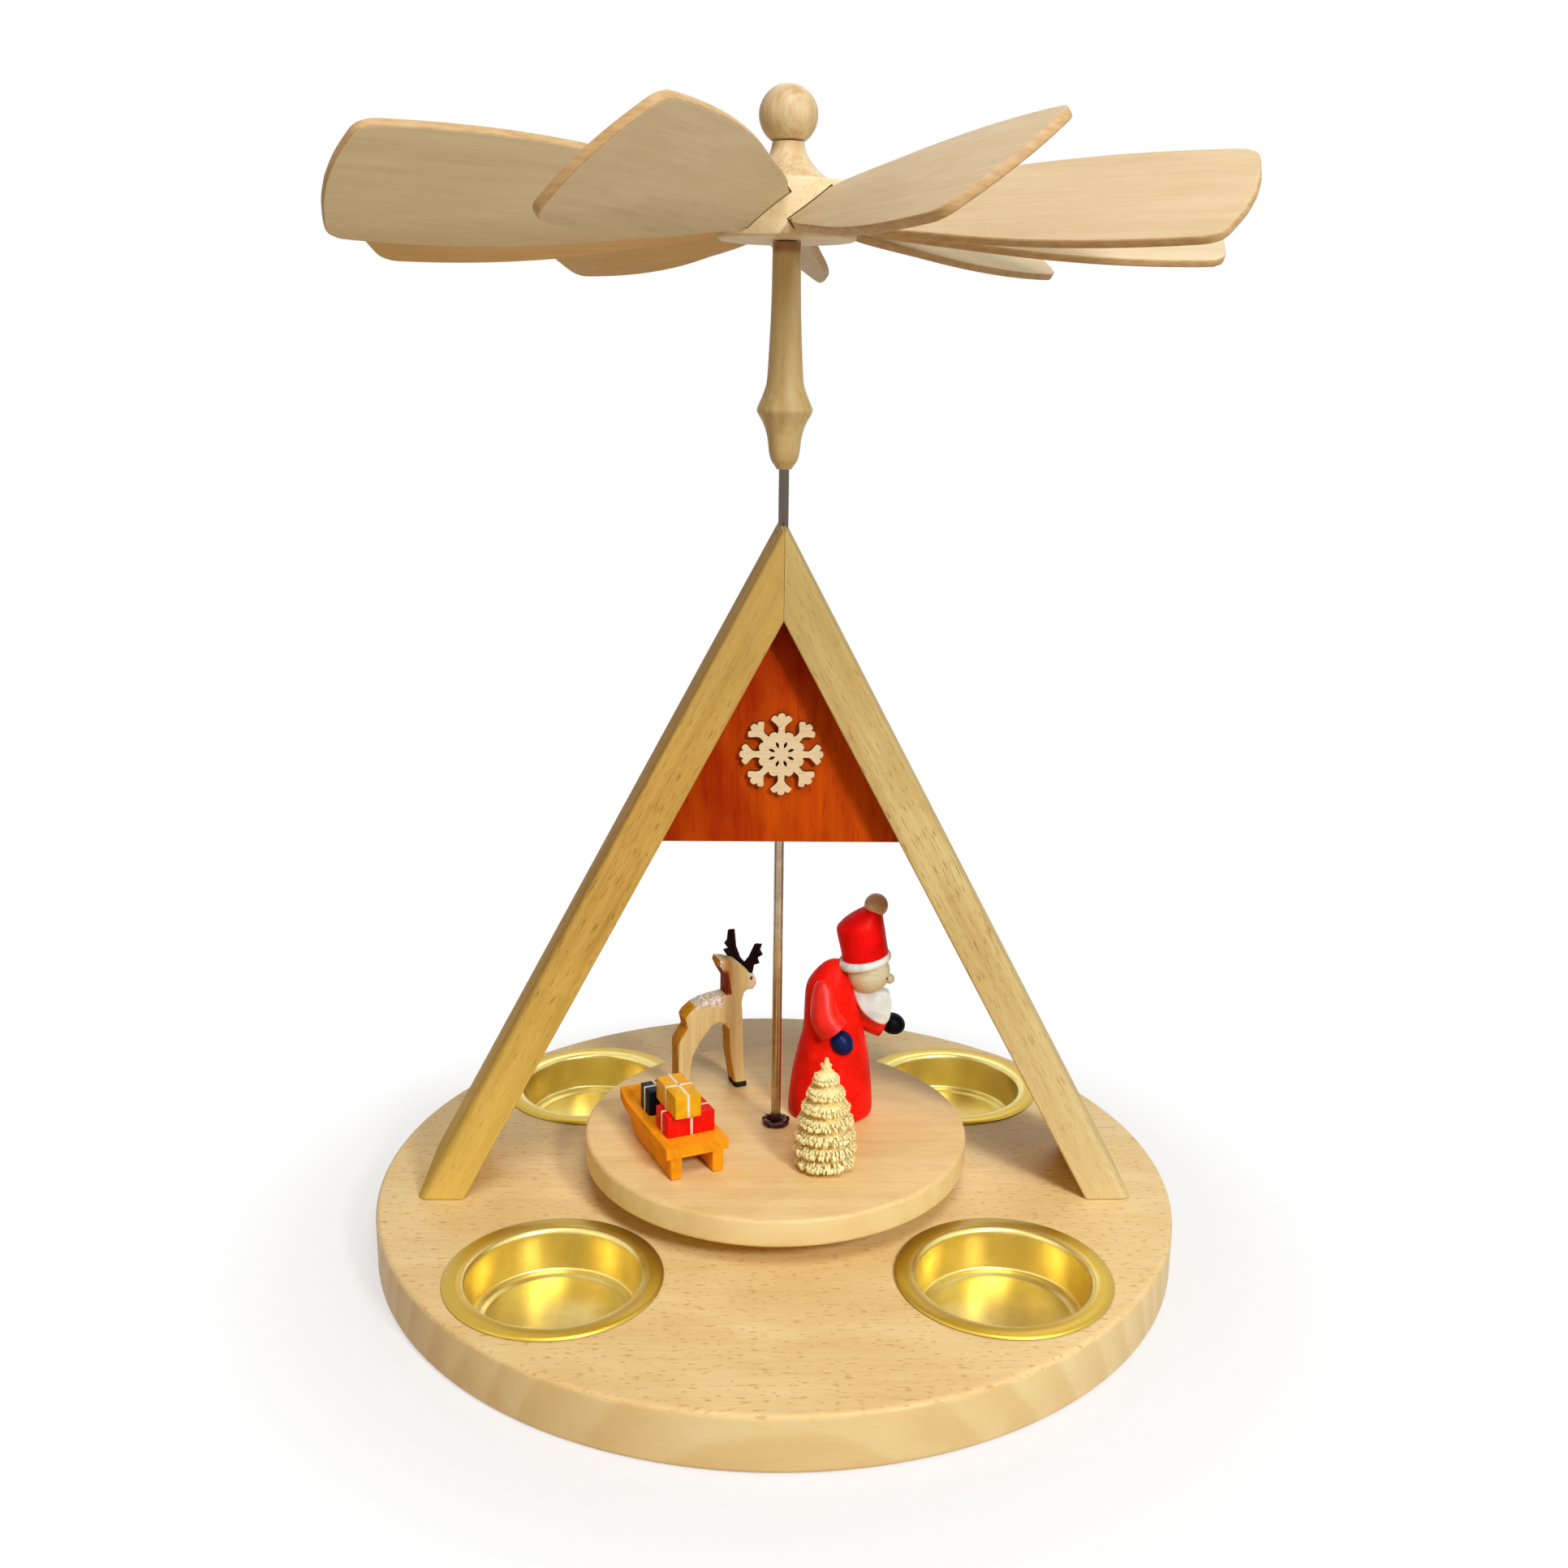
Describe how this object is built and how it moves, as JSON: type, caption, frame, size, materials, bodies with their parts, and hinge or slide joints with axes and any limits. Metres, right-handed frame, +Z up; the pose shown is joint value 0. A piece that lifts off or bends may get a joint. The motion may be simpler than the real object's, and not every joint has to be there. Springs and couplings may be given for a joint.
{
  "type": "candle carousel",
  "caption": "Free-standing wooden candle carousel: tealight cups on a round base, a triangular frame, a turning disc of winter figures and a wheel of slanted wings.",
  "frame": {"origin": "centre of the base's flat underside, on the shaft's axis", "axes": "+Z up along the shaft; the gable's face with the snowflake looks towards -Y; the frame's legs stand on the X axis"},
  "size_m": [0.2024, 0.2023, 0.2737],
  "materials": {
    "beech": "satin, open grain with flecks",
    "light_wood": "plain sanded",
    "stained_wood": "satin stain",
    "cup_brass": "bright pressed sheet",
    "bearing_brass": "turned",
    "shaft_steel": "drawn bar",
    "zinc_steel": "zinc plated",
    "dark_collar": "gloss",
    "red_paint": "satin paint",
    "white_paint": "satin paint",
    "blue_paint": "satin paint",
    "orange_paint": "satin paint",
    "yellow_paint": "satin paint",
    "deer_wood": "plain sanded, painted marks",
    "antler_stain": "dark stain",
    "shavings": "curled shavings"
  },
  "bodies": {
    "stand": {"base_plate": "beech", "bearing_cup": "bearing_brass", "leg_left": "beech", "leg_right": "beech", "leg_screw_left_front": "zinc_steel", "leg_screw_left_rear": "zinc_steel", "leg_screw_right_front": "zinc_steel", "leg_screw_right_rear": "zinc_steel", "gable_block": "stained_wood", "apex_bush": "bearing_brass", "snowflake": "light_wood"},
    "cup_front_left": {"tealight_cup_front_left": "cup_brass"},
    "cup_front_right": {"tealight_cup_front_right": "cup_brass"},
    "cup_rear_left": {"tealight_cup_rear_left": "cup_brass"},
    "cup_rear_right": {"tealight_cup_rear_right": "cup_brass"},
    "rotor": {"shaft": "shaft_steel", "turntable": "beech", "turntable_bush": "dark_collar", "giver_coat": "red_paint", "giver_head": "light_wood", "giver_nose": "light_wood", "giver_hat_brim": "white_paint", "giver_hat": "red_paint", "giver_hat_bobble": "light_wood", "giver_beard": "white_paint", "giver_sleeve_near": "red_paint", "giver_sleeve_far": "red_paint", "giver_mitten_near": "blue_paint", "giver_mitten_far": "blue_paint", "reindeer_body": "deer_wood", "reindeer_antler_left": "antler_stain", "reindeer_antler_right": "antler_stain", "shaved_tree": "shavings", "sled_seat": "orange_paint", "sled_runner_left": "orange_paint", "sled_runner_right": "orange_paint", "gift_red": "red_paint", "gift_yellow": "yellow_paint", "gift_blue": "blue_paint"},
    "wing_wheel": {"spindle": "light_wood", "wing_hub": "light_wood", "wing_1": "light_wood", "wing_2": "light_wood", "wing_3": "light_wood", "wing_4": "light_wood", "wing_5": "light_wood", "wing_6": "light_wood", "wing_7": "light_wood", "wing_8": "light_wood", "wing_9": "light_wood", "finial_base": "light_wood", "finial_ball": "light_wood"}
  },
  "joints": [
    {"name": "lift_cup_front_left", "type": "slide", "parent": "stand", "child": "cup_front_left", "axis": [0, 0, 1], "range_m": [0, 0.0045]},
    {"name": "lift_cup_front_right", "type": "slide", "parent": "stand", "child": "cup_front_right", "axis": [0, 0, 1], "range_m": [0, 0.0045]},
    {"name": "lift_cup_rear_left", "type": "slide", "parent": "stand", "child": "cup_rear_left", "axis": [0, 0, 1], "range_m": [0, 0.0045]},
    {"name": "lift_cup_rear_right", "type": "slide", "parent": "stand", "child": "cup_rear_right", "axis": [0, 0, 1], "range_m": [0, 0.0045]},
    {"name": "shaft_turn", "type": "hinge", "parent": "stand", "child": "rotor", "pos_m": [0, 0, 0.2], "axis": [0, 0, 1], "continuous": true},
    {"name": "lift_wing_wheel", "type": "slide", "parent": "rotor", "child": "wing_wheel", "axis": [0, 0, 1], "range_m": [0, 0.03]}
  ]
}
